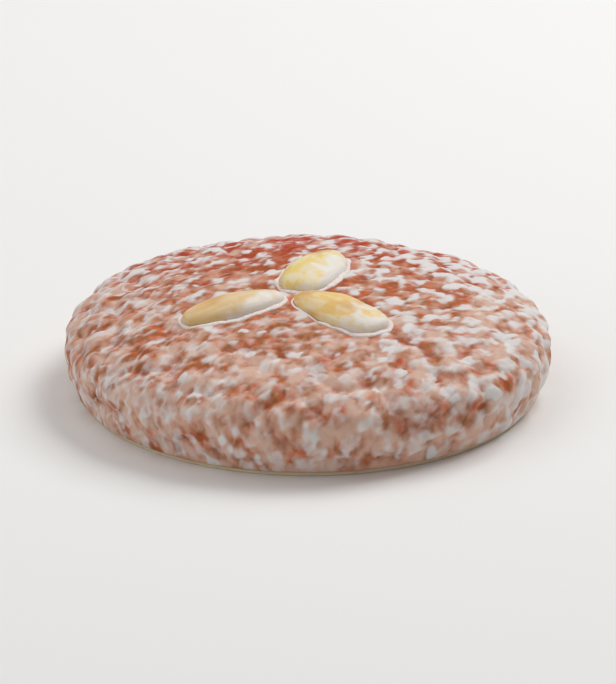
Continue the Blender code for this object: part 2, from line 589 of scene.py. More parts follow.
@dataclass(frozen=True)
class GlazeFinish:
    """Red-brown nut dough with painted shade in its hollows, under sugar glaze from milky film to
    white.

    The crust and the raised sugar share it, so that a patch's colour fades out past its edge.
    Each colour is mixed over those before it. A span gives the values between which it comes in,
    and a most how far it then covers. Crumbs and grain are a coarse and a fine noise, whose sizes
    come first. What they are multiplied by follows the colour that they break up.
    """

    name: str = "sugar_glaze"
    crumb: float = 2.0 * MM
    grain: float = 0.35 * MM
    baked: Colour = srgb(162, 92, 38)
    toasted: Colour = srgb(205, 100, 50)
    toasted_span: Span = (-0.1, 0.15)
    # Painted shade: the dark red of hollows and cracks.
    hollow_shade_colour: Colour = srgb(138, 15, 8)
    hot: Colour = srgb(184, 44, 26)
    milky: Colour = srgb(219, 179, 159)
    milky_span: Span = (-0.15, 1.15)
    milky_crumbs: float = 0.7
    ochre: Colour = srgb(212, 158, 104)
    ochre_span: Span = (0.3, 0.8)
    ochre_grain: float = 0.3
    ochre_most: float = 0.2
    white: Colour = srgb(230, 226, 224)
    white_span: Span = (0.0, 0.9)
    white_crumbs: float = 0.13
    white_grain: float = 0.22
    white_most: float = 0.95
    roughness: float = 0.5
    white_roughness: float = 0.12
    bump_grain: float = 0.5
    bump_depth: float = 0.08 * MM
    bump_strength: float = 0.4
    depths: Depths = Depths(glint=0.25, share=0.15, radius=(1.0, 0.55, 0.4), depth=0.5 * MM)

    def make(self) -> bpy.types.Material:
        """Builds it from noise, painted shade in hollows, and the white, veil, hot and ochre values.

        Returns:
            The material.
        """
        mat = Recipe(self.name)
        crumbs, grain = mat.noise(self.crumb), mat.noise(self.grain)
        colour = mat.mix(self.baked, self.toasted, crumbs.between(*self.toasted_span))
        # Painted shade: a dark red mixed in over hollows and cracks.
        colour = mat.mix(colour, self.hollow_shade_colour, mat.value("hollow_shade"))
        colour = mat.mix(colour, self.hot, mat.value("hot"))
        veil = mat.value("veil") + crumbs * self.milky_crumbs
        colour = mat.mix(colour, self.milky, veil.between(*self.milky_span))
        stain = mat.value("ochre") + grain * self.ochre_grain
        colour = mat.mix(colour, self.ochre, stain.between(*self.ochre_span) * self.ochre_most)
        white = mat.value("white") + crumbs * self.white_crumbs + grain * self.white_grain
        white = white.between(*self.white_span)
        colour = mat.mix(colour, self.white, white * self.white_most)
        height = grain * self.bump_grain + crumbs
        return mat.finish({
            "Base Color": colour,
            "Roughness": self.roughness + white * self.white_roughness,
            "Normal": mat.bump(height, self.bump_depth, self.bump_strength),
            **self.depths.sockets(),
        })


@dataclass(frozen=True)
class CollarFinish:
    """Thick white glaze, a little pinker where its grain says that it is thin."""

    name: str = "collar_glaze"
    grain: float = 0.5 * MM
    thin: Colour = srgb(236, 216, 206)
    thick: Colour = srgb(244, 236, 232)
    thick_span: Span = (-0.15, 0.1)
    roughness: float = 0.55
    bump_depth: float = 0.03 * MM
    bump_strength: float = 0.2
    depths: Depths = Depths(glint=0.45, share=0.2, radius=(1.0, 0.8, 0.7), depth=0.5 * MM)

    def make(self) -> bpy.types.Material:
        """Builds the material from fine noise.

        Returns:
            The material.
        """
        mat = Recipe(self.name)
        grain = mat.noise(self.grain, detail=3, roughness=0.6)
        return mat.finish({
            "Base Color": mat.mix(self.thin, self.thick, grain.between(*self.thick_span)),
            "Roughness": self.roughness,
            "Normal": mat.bump(grain, self.bump_depth, self.bump_strength),
            **self.depths.sockets(),
        })


@dataclass(frozen=True)
class AlmondFinish:
    """Skinless almond, yellow and cream with ochre stains, under a whitish glaze film, partly painted
    light.

    Clouds and the mesh's wrinkles part the yellow from the cream, and flecks break up the film.
    """

    name: str
    yellow: Colour
    cream: Colour
    ochre: Colour = srgb(216, 164, 96)
    film: Colour = srgb(242, 238, 234)
    cloud: float = 3.0 * MM
    fleck: float = 1.1 * MM
    fine: float = 0.35 * MM
    cream_span: Span = (-0.15, 0.15)
    cream_streaks: float = 0.35
    cream_fine: float = 0.1
    film_flecks: float = 0.35
    film_most: float = 0.85
    roughness: float = 0.5
    fine_roughness: float = 0.2
    bump_depth: float = 0.04 * MM
    bump_strength: float = 0.4
    depths: Depths = Depths(glint=0.35, share=0.7, radius=(1.0, 0.8, 0.5), depth=1.8 * MM)

    def make(self) -> bpy.types.Material:
        """Builds the material from the mesh's film, tan and streak values and soft noise.

        Returns:
            The material.
        """
        mat = Recipe(self.name)
        fine = mat.noise(self.fine)
        pale = mat.noise(self.cloud) + mat.value("streak") * self.cream_streaks
        pale = pale + fine * self.cream_fine
        skin = mat.mix(self.yellow, self.cream, pale.between(*self.cream_span))
        skin = mat.mix(skin, self.ochre, mat.value("tan"))
        flecks = mat.noise(self.fleck, detail=3, roughness=0.6)
        # The film is partly painted light on the almond's lower side.
        film = mat.value("film") + flecks * self.film_flecks
        return mat.finish({
            "Base Color": mat.mix(skin, self.film, film.between(0.0, 1.0) * self.film_most),
            "Roughness": self.roughness + fine * self.fine_roughness,
            "Normal": mat.bump(fine, self.bump_depth, self.bump_strength),
            **self.depths.sockets(),
        })


@dataclass(frozen=True)
class WaferFinish:
    """Pale baked wafer, browner in soft clouds."""

    name: str = "wafer"
    pale: Colour = srgb(232, 216, 184)
    toasted: Colour = srgb(206, 176, 130)
    toasted_span: Span = (-0.05, 0.3)
    cloud: float = 9 * MM
    fine: float = 0.4 * MM
    roughness: float = 0.8
    bump_depth: float = 0.05 * MM
    bump_strength: float = 0.5

    def make(self) -> bpy.types.Material:
        """Builds the material from soft and fine noise.

        Returns:
            The material.
        """
        mat = Recipe(self.name)
        clouds = mat.noise(self.cloud, detail=4, roughness=0.6)
        return mat.finish({
            "Base Color": mat.mix(self.pale, self.toasted, clouds.between(*self.toasted_span)),
            "Roughness": self.roughness,
            "Normal": mat.bump(mat.noise(self.fine), self.bump_depth, self.bump_strength),
        })


# ------------------------------------------------------------------ forms that the CAD has

@dataclass(frozen=True)
class Dough:
    """The smooth form and the main relief of the baked round, as the CAD crust has them.

    The relief is broad swells, lumps and small crags. The size of each is how far apart they are,
    its depth how far they stand out, and its seed chooses where.

    Args:
        diameter: At the widest line.
        dome_rise: How far the top is above the widest line.
        widest_height: How high the widest line is.
        foot_diameter: Where the crust meets the wafer.
        dome_power: The power of the dome's outline, a superellipse.
        foot_height: How high the foot is.
        top_lump_share: How high the lumps on top are, beside those round the shoulder.
        shoulder: Where the lumps begin to grow and where they are full, in shares of the radius.
        foot_fade: How far above the foot the relief has faded in.
        mean_lump: The height of the lumps at which they move nothing.
        dome_points: Points along the dome's outline.
        side_points: Points along the side's outline below it.
    """

    diameter: float = 90 * MM
    dome_rise: float = 10.2 * MM
    widest_height: float = 9.6 * MM
    dome_power: float = 2.15
    foot_diameter: float = 85.4 * MM
    foot_height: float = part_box("crust")[0].z
    swell_size: float = 24 * MM
    swell_depth: float = 0.5 * MM
    lump_size: float = 5.2 * MM
    lump_depth: float = 1.5 * MM
    crag_size: float = 3.0 * MM
    crag_depth: float = 0.4 * MM
    top_lump_share: float = 0.4
    shoulder: Span = (0.55, 0.85)
    foot_fade: float = 2.5 * MM
    mean_lump: float = 0.85
    swell_seed: int = 41
    lump_seed: int = 42
    crag_seed: int = 43
    dome_points: int = 200
    side_points: int = 60

    def dome_height(self, radius: Array | float) -> Array:
        """Height of the smooth dome, a part of a superellipse.

        Args:
            radius: Distance from the axis.

        Returns:
            Height above the floor.
        """
        share = np.clip(radius / (self.diameter / 2), 0, 1)
        rise = (1 - share**self.dome_power) ** (1 / self.dome_power)
        return self.widest_height + self.dome_rise * rise

    def profile(self) -> tuple[Array, Array, Array]:
        """The smooth outline from the middle of the top to the foot.

        The dome is a superellipse. Below the widest line the side draws in with the square of the
        distance below it.

        Returns:
            Radius, height, and the length along the outline.
        """
        turn = np.linspace(0, math.pi / 2, self.dome_points)
        dome_radius = self.diameter / 2 * np.sin(turn) ** (2 / self.dome_power)
        drop = np.linspace(0, 1, self.side_points)[1:]
        side_radius = self.diameter / 2 + (self.foot_diameter - self.diameter) / 2 * drop**2
        side_height = self.widest_height - (self.widest_height - self.foot_height) * drop
        radius = np.concatenate([dome_radius, side_radius])
        height = np.concatenate([self.dome_height(dome_radius), side_height])
        along = np.concatenate([[0], np.cumsum(np.hypot(np.diff(radius), np.diff(height)))])
        return radius, height, along

    def smooth(self, flat: Array) -> tuple[Array, Array, Array]:
        """The smooth surface: a point of the flat disc goes as far along the outline.

        Args:
            flat: Points of a disc of radius 1.

        Returns:
            Points, outward normals, and each point's distance from the foot.
        """
        radius, height, along = self.profile()
        share = np.hypot(flat[:, 0], flat[:, 1])
        reach = share * along[-1]
        out = flat / np.maximum(share, TINY)[:, None]
        point_radius = np.interp(reach, along, radius)
        outward = np.interp(reach, along, -np.gradient(height, along))
        upward = np.interp(reach, along, np.gradient(radius, along))
        points = np.column_stack([out * point_radius[:, None], np.interp(reach, along, height)])
        normals = np.column_stack([out * outward[:, None], upward])
        return points, normals, along[-1] - reach

    def caps(self, points: Array) -> Array:
        """The lumps alone, above 0 on their caps."""
        return Pattern(self.lump_seed).lumps(points, self.lump_size) - self.mean_lump

    def relief(self, points: Array) -> Array:
        """How far the swells, lumps and crags move each smooth point outwards.

        Args:
            points: Points of the smooth surface.

        Returns:
            The sum of the three, with the lumps lower on top than round the shoulder.
        """
        share = np.hypot(points[:, 0], points[:, 1]) / (self.diameter / 2)
        start, full = self.shoulder
        shoulder = np.clip((share - start) / (full - start), 0, 1)
        depth = self.lump_depth * (self.top_lump_share + (1 - self.top_lump_share) * shoulder)
        total = self.swell_depth * Pattern(self.swell_seed).bumps(points, self.swell_size)
        total += depth * self.caps(points)
        total += self.crag_depth * Pattern(self.crag_seed).bumps(points, self.crag_size)
        return total

    def ground_height(self, places: Array) -> Array:
        """Height of the dome with its main relief at plan places.

        Args:
            places: Points, of which only the plan place is used.

        Returns:
            Height above the floor.
        """
        radius, height, _ = self.profile()
        plan = places[:, :2]
        away = np.hypot(plan[:, 0], plan[:, 1])
        dome = slice(self.dome_points)
        smooth = np.column_stack([plan, np.interp(away, radius[dome], height[dome])])
        return smooth[:, 2] + self.relief(smooth)


@dataclass(frozen=True)
class AlmondSizes:
    """Size and place of one almond, as its CAD node has them.

    Args:
        node: The CAD node's name.
        length: Its length.
        width: Its width.
        x: Where its middle is, to the right.
        y: Where its middle is, to the back.
        bearing: Where its outer end points, in degrees anticlockwise from the right.
        inner_power: How its width falls towards its inner end: less is blunter.
        outer_power: The same towards its outer end.
        thickness: Its thickness.
        sink: How far its middle lies below the smooth dome.
        slope_step: The distance over which the dome's slope under it is measured.
    """

    node: str
    length: float
    width: float
    x: float
    y: float
    bearing: float
    inner_power: float
    outer_power: float
    thickness: float = 5.6 * MM
    sink: float = 0.1 * MM
    slope_step: float = 0.1 * MM

    def swell(self, along: Array) -> Array:
        """Share of the half width along the almond.

        It is the product of a power of the distance to each end, 1 where it is largest.

        Args:
            along: From -1, the inner end, to 1, the outer end.

        Returns:
            Shares from 0 to 1.
        """
        inner, outer = self.inner_power, self.outer_power
        peak = (inner - outer) / (inner + outer)
        widest = (1 + peak) ** inner * (1 - peak) ** outer
        along = np.clip(along, -1, 1)
        return (1 + along) ** inner * (1 - along) ** outer / widest

    def axes(self, dough: Dough) -> tuple[Array, Array]:
        """Where the almond lies.

        Args:
            dough: The dome that it lies on.

        Returns:
            Its middle, and its forward, sideways and upward directions as rows.
        """
        radius, step = math.hypot(self.x, self.y), self.slope_step
        slope = (dough.dome_height(radius + step) - dough.dome_height(radius - step)) / (2 * step)
        upward = Vector((-slope * self.x / radius, -slope * self.y / radius, 1)).normalized()
        turn = math.radians(self.bearing)
        forward = Vector((math.cos(turn), math.sin(turn), 0))
        forward = (forward - upward * forward.dot(upward)).normalized()
        middle = Vector((self.x, self.y, dough.dome_height(radius))) - upward * self.sink
        return np.array(middle), np.array([forward, upward.cross(forward), upward])

    def own_place(self, points: Array, dough: Dough) -> Array:
        """Points in the almond's own axes, with its outer end at +X."""
        middle, axes = self.axes(dough)
        return (points - middle) @ axes.T

    def world_place(self, own: Array, dough: Dough) -> Array:
        """Points from the almond's own axes back to the frame's."""
        middle, axes = self.axes(dough)
        return own @ axes + middle

    def clearance(self, own: Array) -> Array:
        """About how far points lie outside the almond's plan outline.

        Args:
            own: Points in the almond's own axes.

        Returns:
            Distances, less than 0 inside the outline.
        """
        along = own[:, 0] / (self.length / 2)
        half = self.swell(along) * self.width / 2
        beyond = np.maximum(np.abs(own[:, 0]) - self.length / 2, 0)
        return np.where(np.abs(along) < 1, np.abs(own[:, 1]) - half,
                        np.hypot(beyond, own[:, 1]))

    def underside(self, own: Array) -> Array:
        """How far the almond's lower side, half an oval, lies below its middle plane.

        Args:
            own: Points in the almond's own axes, of which only the plan place is used.

        Returns:
            Depths, 0 outside the almond.
        """
        swell = np.maximum(self.swell(own[:, 0] / (self.length / 2)), TINY)
        across = np.clip(own[:, 1] / (swell * self.width / 2), -1, 1)
        return swell * self.thickness / 2 * np.sqrt(1 - across**2)


ALMONDS = (
    AlmondSizes("almond_left", length=20.2 * MM, width=8.1 * MM, x=-13.9 * MM, y=-8.7 * MM,
                bearing=205, inner_power=0.42, outer_power=0.38),
    AlmondSizes("almond_right", length=20.7 * MM, width=10.2 * MM, x=5.5 * MM, y=-11.5 * MM,
                bearing=-44.5, inner_power=0.42, outer_power=0.32),
    AlmondSizes("almond_back", length=20.9 * MM, width=10.6 * MM, x=1.6 * MM, y=8.5 * MM,
                bearing=69, inner_power=0.31, outer_power=0.45),
)


# ------------------------------------------------------------------ crust and sugar glaze

@dataclass
class Sheet:
    """A grid laid over the smooth dough, with the relief that every skin of the round has.

    For each point it holds the smooth place and normal, the distance from the foot, how far right
    and back it is and its distance from the axis in shares of the radius, how far it is on the
    shoulder, the main relief, and the lumps, knobs and finest relief as patterns.

    Args:
        dough: The form that it follows.
        count: Points along each side of the grid.
        knob_size: The size of the fine knobs.
        knob_depth: How high they are, for lumps from 0 to 1.
        knob_shares: Their share of that on top, and what is added round the shoulder.
        knob_level: The knobs' height, in spreads, at which they move nothing.
        knob_seed: Chooses where they are.
        rough_size: The size of the finest relief.
        rough_depth: How high it is.
        rough_seed: Chooses its pattern.
    """

    dough: Dough
    count: int
    knob_size: float = 2.2 * MM
    knob_depth: float = 0.09 * MM
    knob_shares: Span = (0.5, 0.25)
    knob_level: float = 0.8
    knob_seed: int = 77
    rough_size: float = 1.4 * MM
    rough_depth: float = 0.04 * MM
    rough_seed: int = 78

    def __post_init__(self) -> None:
        """Works out the grid's smooth points, where they lie on the dough, and their relief."""
        flat, self.cells, self.rim = disc_grid(self.count)
        self.smooth, self.normals, self.to_foot = self.dough.smooth(flat)
        self.fade = np.clip(self.to_foot / self.dough.foot_fade, 0, 1)
        reach = self.dough.diameter / 2
        self.right, self.back = self.smooth[:, 0] / reach, self.smooth[:, 1] / reach
        self.share = np.hypot(self.smooth[:, 0], self.smooth[:, 1]) / reach
        self.shoulder = ramp(self.share, *self.dough.shoulder)
        self.main = self.dough.relief(self.smooth)
        lumps = self.dough.caps(self.smooth) + self.dough.mean_lump
        self.caps = (lumps - LUMP_LEVEL) / LUMP_SPREAD
        tilted = self.smooth @ TILT
        knobs = Pattern(self.knob_seed).lumps(tilted, self.knob_size)
        self.knobs = (knobs - LUMP_LEVEL) / LUMP_SPREAD
        self.rough = Pattern(self.rough_seed).layered(tilted, self.rough_size)

    def raised(self, extra: Array) -> Array:
        """The smooth points moved outwards by all the relief, which fades out at the foot.

        Args:
            extra: A relief to add.

        Returns:
            The moved points.
        """
        top, more = self.knob_shares
        fine = self.knob_depth * (top + more * self.shoulder) * LUMP_SPREAD
        fine = fine * (self.knobs - self.knob_level) + self.rough_depth * self.rough
        relief = (self.main + fine + extra) * self.fade
        return self.smooth + self.normals * relief[:, None]


@dataclass(frozen=True)
class Sugar:
    """Where the sugar glaze is white, milky or worn through to the dough, with painted shade and
    light.

    Each method gives a value at every point of a sheet. Most patterns vary about 0 by 1, so that
    what they are multiplied by says how much they count. A span gives where a ramp starts and
    ends. The right, the left and the back are measured in shares of the radius.
    """

    # How patterns are drawn out and pulled about. Hang and flow are what heights and lengths
    # along the flow are multiplied by, and the bearing is in degrees anticlockwise from the right.
    hang: float = 0.7
    flow: float = 0.7
    flow_bearing: float = 45.0
    pull_size: float = 1.5 * MM
    pull_reach: float = 0.9 * MM
    patch_pull_seed: int = 90
    streak_pull_seed: int = 93
    crease_pull_seed: int = 96

    # What makes the white reach further: the right, partly as painted light that brightens that
    # side, the shoulder and the caps of lumps. Then from where to where the left comes in, which
    # has fewer islands and more veins.
    favour_right_and_light: float = 0.13
    favour_shoulder: float = 0.04
    favour_caps: float = 0.05
    left_span: Span = (0.2, 0.75)

    # White flakes, large and small, and how much they cover.
    islands: Flakes = Flakes(size=3.2 * MM, halves=(0.22, 0.43), strengths=(-0.5, 1.25),
                             edges=(0.3, 0.8))
    islands_lost_left: float = 0.4
    islands_seed: int = 100
    scraps: Flakes = Flakes(size=2.1 * MM, halves=(0.15, 0.45), strengths=(0.0, 1.2),
                            edges=(0.6, 1.0))
    scraps_cover: float = 0.2
    scraps_seed: int = 110

    # Thin white veins, which cover more at the left.
    vein_size: float = 4.0 * MM
    vein_width: float = 0.14
    vein_cover: float = 0.05
    vein_cover_left: float = 0.5
    vein_seed: int = 115

    # Soft white haze.
    haze_size: float = 2.4 * MM
    haze_cover: float = 0.66
    haze_favour: float = 3.6
    haze_span: Span = (-0.83, 2.2)
    haze_seed: int = 118

    # The white that comes of them: white_base where they leave white_bare uncovered, and more as
    # they leave less. It differs more where the sugar is thick, partly painted light that brightens
    # the whites towards the back right and greys them at the front. It frays most between 0 and
    # fray_top.
    thick_right_and_light: float = 0.42
    thick_span: Span = (-0.5, 0.42)
    white_base: float = 0.2
    white_bare: float = 0.8
    white_gain: float = 0.82
    white_gain_thick_and_light: float = 0.72
    fray_size: float = 1.5 * MM
    fray_depth: float = 0.3
    fray_top: float = 1.2
    fray_seed: int = 119

    # Where the film between the patches is worn: at the back, and less near the foot.
    bared_low: float = 0.45
    bared_foot_span: Span = (5 * MM, 13 * MM)
    bared_back_span: Span = (-0.2, 1.0)

    # The milky film. Its lean to the right is partly painted light.
    veil_base: float = 0.19
    veil_rim: float = 0.52
    veil_right_and_light: float = 0.06
    veil_bared: float = 0.34
    veil_crease: float = 0.31
    film_size: float = 7.0 * MM
    film_depth: float = 0.04
    film_seed: int = 120
    streak_size: float = 3.2 * MM
    streak_depth: float = 0.34
    streak_seed: int = 125

    # Cracks between the patches.
    crease_size: float = 3.4 * MM
    crease_width: float = 0.14
    crease_flow: float = 0.8
    crease_seed: int = 170
    crease_fade: float = 1.5

    # Yellowish stains.
    stain_size: float = 1.8 * MM
    stain_base: float = 0.15
    stain_depth: float = 0.3
    stain_seed: int = 160

    # Painted shade in the hollows beside the fine knobs and between the lumps, and in the cracks,
    # and how hot the dough's colour is where the film is worn.
    knob_shade: float = 0.5
    knob_shade_rough: float = 2.5
    knob_shade_span: Span = (0.0, 2.4)
    lump_shade: float = 0.7
    lump_shade_span: Span = (0.4, 1.8)
    hollow_shade_depth: float = 0.5
    crease_shade: float = 0.05
    hot_bared: float = 0.8

    def pulled(self, sheet: Sheet, seed: int, flow: float) -> Array:
        """The sheet's points as a pattern sees them, drawn out and pulled about.

        They are shortened upwards and along the flow, so that what the pattern draws comes out
        longer downwards on the side and along the flow on top.

        Args:
            sheet: What the pattern is for.
            seed: Chooses how the points are pulled about.
            flow: What lengths along the flow are multiplied by.

        Returns:
            The places to read the pattern at.
        """
        turn = math.radians(self.flow_bearing)
        along = np.array([math.cos(turn), math.sin(turn), 0])
        hung = sheet.smooth * np.array([1, 1, self.hang])
        drawn = hung + np.outer(hung @ along, along) * (flow - 1)
        return Pattern(seed).warped(drawn @ TILT, self.pull_size, self.pull_reach)

    def thick(self, sheet: Sheet) -> Array:
        """How thickly the sugar lies, partly painted light: 0 at the front, 1 at the back right."""
        return ramp(self.thick_right_and_light * sheet.right + sheet.back, *self.thick_span)

    def bared(self, sheet: Sheet) -> Array:
        """How far the film between the patches thins out towards the back, less on the side."""
        high = self.bared_low + (1 - self.bared_low) * ramp(sheet.to_foot, *self.bared_foot_span)
        return high * ramp(sheet.back, *self.bared_back_span)

    def white(self, sheet: Sheet) -> Array:
        """How white the glaze is.

        Islands, smaller scraps, thin veins and haze lie over each other: what each leaves
        uncovered is multiplied. They reach further on caps, at the right, partly as painted light,
        and round the shoulder. Where the sugar is thick, the difference between patches and gaps
        grows, partly as painted light towards the back right. The patches fray.

        Args:
            sheet: Where to work it out.

        Returns:
            About 0 where there is no white, 1 in the middle of a patch.
        """
        place = self.pulled(sheet, self.patch_pull_seed, self.flow)
        left = ramp(-sheet.right, *self.left_span)
        # Partly painted light: the white reaches further to the right.
        favour = self.favour_right_and_light * sheet.right + self.favour_shoulder * sheet.shoulder
        favour += self.favour_caps * np.clip(sheet.caps, -1, 1)
        islands = Pattern(self.islands_seed).islands(place, self.islands, 1 + favour)
        islands *= 1 - self.islands_lost_left * left
        scraps = Pattern(self.scraps_seed).islands(place, self.scraps, 1 + favour)
        veins = Pattern(self.vein_seed).veins(place, self.vein_size, self.vein_width)
        veins *= self.vein_cover + self.vein_cover_left * left
        haze = Pattern(self.haze_seed).even(place, self.haze_size) + self.haze_favour * favour
        bare = (1 - islands) * (1 - self.scraps_cover * scraps) * (1 - veins)
        bare *= 1 - self.haze_cover * ramp(haze, *self.haze_span)
        # Partly painted light: whites brighter towards the back right, greyer at the front.
        gain = self.white_gain + self.white_gain_thick_and_light * self.thick(sheet)
        white = self.white_base + (self.white_bare - bare) * gain
        fray = Pattern(self.fray_seed).even(place, self.fray_size)
        return white + self.fray_depth * fray * white * (self.fray_top - white)

    def veil(self, sheet: Sheet) -> Array:
        """How milky the film is between the patches: more towards the rim, in soft streaks, and
        more to the right, partly as painted light.

        Args:
            sheet: Where to work it out.

        Returns:
            About 0 where the dough shows, 1 where the film hides it.
        """
        place = self.pulled(sheet, self.streak_pull_seed, self.flow)
        film = Pattern(self.film_seed).even(sheet.smooth, self.film_size, 3)
        streaks = Pattern(self.streak_seed).even(place, self.streak_size)
        # Partly painted light: milkier to the right.
        return (self.veil_base + self.veil_rim * sheet.share**2 + self.veil_right_and_light * sheet.right
                + self.film_depth * film + self.streak_depth * streaks
                - self.veil_bared * self.bared(sheet))

    def crease(self, sheet: Sheet, white: Array) -> Array:
        """Thin cracks that fade out under the white.

        Args:
            sheet: Where to work them out.
            white: How white the glaze is.

        Returns:
            1 along the middle of a crack in bare dough, and 0 beside it.
        """
        place = self.pulled(sheet, self.crease_pull_seed, self.crease_flow)
        return (Pattern(self.crease_seed).veins(place, self.crease_size, self.crease_width)
                * np.clip(1 - self.crease_fade * white, 0, 1))

    def hollow_shade(self, sheet: Sheet) -> Array:
        """How much painted shade a point takes in hollows beside fine knobs or between lumps.

        Args:
            sheet: Where to work it out.

        Returns:
            The stronger of the two, from 0 to 1.
        """
        low = -sheet.knobs - self.knob_shade_rough * sheet.rough
        return np.maximum(self.knob_shade * ramp(low, *self.knob_shade_span),
                          self.lump_shade * ramp(-sheet.caps, *self.lump_shade_span))

    def values(self, sheet: Sheet, white: Array, crease: Array) -> dict[str, Array]:
        """What the glaze's finish reads at each point.

        Args:
            sheet: Where to work it out.
            white: How white the glaze is.
            crease: Where the cracks are.

        Returns:
            The values by name.
        """
        stain = Pattern(self.stain_seed).even(sheet.smooth, self.stain_size)
        return {"white": white,
                "veil": self.veil(sheet) - self.veil_crease * crease,
                # Painted shade in hollows and cracks.
                "hollow_shade": self.hollow_shade_depth * self.hollow_shade(sheet) + self.crease_shade * crease,
                "hot": self.hot_bared * self.bared(sheet),
                "ochre": self.stain_base + self.stain_depth * stain}


@dataclass
class Round:
    """The crust and the sugar that stands on it, two skins over the same dough.

    Args:
        dough: The form that both follow.
        sugar: Where the glaze lies.
        finish: What both look like.
        almonds: What presses seats into the crust.
        crust_count: Points along each side of the crust's grid.
        sugar_count: Points along each side of the sugar's grid.
        seat_gap: How far a seat lies below and beside its almond.
        crease_depth: How deep a crack is.
        film_rise: How far white glaze stands above none.
        sugar_rise: How much further a patch stands up.
        sugar_skirt: How far the sugar's skin sinks below that, to hide its rims.
        patch_span: The white at which a patch begins, and at which it is full.
        almond_gap: How far from an almond the sugar begins.
        foot_gap: How far from the foot the sugar begins.
    """

    dough: Dough
    sugar: Sugar
    finish: GlazeFinish
    almonds: Sequence[AlmondSizes]
    crust_count: int = 309
    sugar_count: int = 540
    seat_gap: float = 0.12 * MM
    crease_depth: float = 0.22 * MM
    film_rise: float = 0.1 * MM
    sugar_rise: float = 0.05 * MM
    sugar_skirt: float = 0.02 * MM
    patch_span: Span = (0.5, 0.95)
    almond_gap: float = 0.3 * MM
    foot_gap: float = 0.8 * MM

    def _seated(self, points: Array) -> Array:
        """The points pressed down to lie a gap below the underside of each almond over them.

        Args:
            points: Points of the crust.

        Returns:
            The moved points.
        """
        for almond in self.almonds:
            own = almond.own_place(points, self.dough)
            inside = almond.clearance(own) < self.seat_gap
            floor = -almond.underside(own) - self.seat_gap
            own[:, 2] = np.where(inside, np.minimum(own[:, 2], floor), own[:, 2])
            points = np.where(inside[:, None], almond.world_place(own, self.dough), points)
        return points

    def _from_almonds(self, sheet: Sheet) -> Array:
        """Each point's distance from the nearest almond's outline."""
        return np.min([almond.clearance(almond.own_place(sheet.smooth, self.dough))
                       for almond in self.almonds], axis=0)

    def crust(self) -> Skin:
        """The crust: relief outwards along the normals, closed by a fan on the underside.

        Returns:
            The closed skin.
        """
        sheet = Sheet(self.dough, self.crust_count)
        white = self.sugar.white(sheet)
        crease = self.sugar.crease(sheet, white)
        points = self._seated(sheet.raised(self.film_rise * white - self.crease_depth * crease))
        hub = np.array([[0, 0, self.dough.foot_height]])
        values = {label: np.append(value, 0)
                  for label, value in self.sugar.values(sheet, white, crease).items()}
        faces = [sheet.cells, fan_faces(sheet.rim[::-1], len(points))]
        return Skin(np.concatenate([points, hub]), faces, values)

    def patches(self) -> Skin:
        """The sugar: a skin over the crust, kept only where it stands proud of it.

        Returns:
            The open skin, with its rims sunk in the crust.
        """
        sheet = Sheet(self.dough, self.sugar_count)
        white = self.sugar.white(sheet)
        crease = self.sugar.crease(sheet, white)
        rise = self.film_rise * white + self.sugar_rise * ramp(white, *self.patch_span)
        points = sheet.raised(rise - self.sugar_skirt - self.crease_depth * crease)
        shown = (white > self.patch_span[0]) & (sheet.to_foot > self.foot_gap)
        shown &= self._from_almonds(sheet) > self.almond_gap
        return Skin(points, [sheet.cells], self.sugar.values(sheet, white, crease)).only(shown)

    def build(self) -> list[bpy.types.Object]:
        """Builds both skins in the glaze's finish.

        Returns:
            The two pieces.
        """
        glaze = self.finish.make()
        return [self.crust().put("glazed_round", glaze, Slot.CRUST, ["crust"]),
                self.patches().put("sugar_patches", glaze, Slot.CRUST)]


# ------------------------------------------------------------------ almonds

@dataclass(frozen=True)
class AlmondLook:
    """One almond's colours, and how the film of glaze, partly painted light, lies on it.

    Args:
        finish: Its colours.
        film_cover: How far the film covers its middle, from 0 to 1.
        film_and_light_side: Where the film thickens, and by how much over the almond's side_reach.
        Its lean to the lower side is partly painted light.
        seed: Chooses its patterns.
    """

    finish: AlmondFinish
    film_cover: float
    film_and_light_side: Triple
    seed: int


# Each film leans to the almond's lower side: partly glaze, partly painted light.
LOOKS = (
    AlmondLook(AlmondFinish("almond_beige", yellow=srgb(232, 200, 144), cream=srgb(234, 208, 168)),
               film_cover=0.22, film_and_light_side=(1.05, -0.6, -1.0), seed=50),
    AlmondLook(AlmondFinish("almond_cream", yellow=srgb(242, 204, 124), cream=srgb(242, 220, 176)),
               film_cover=0.22, film_and_light_side=(0.45, -0.4, -0.8), seed=70),
    AlmondLook(AlmondFinish("almond_yellow", yellow=srgb(242, 214, 124), cream=srgb(242, 224, 184)),
               film_cover=0.52, film_and_light_side=(1.0, -0.4, -1.0), seed=90),
)


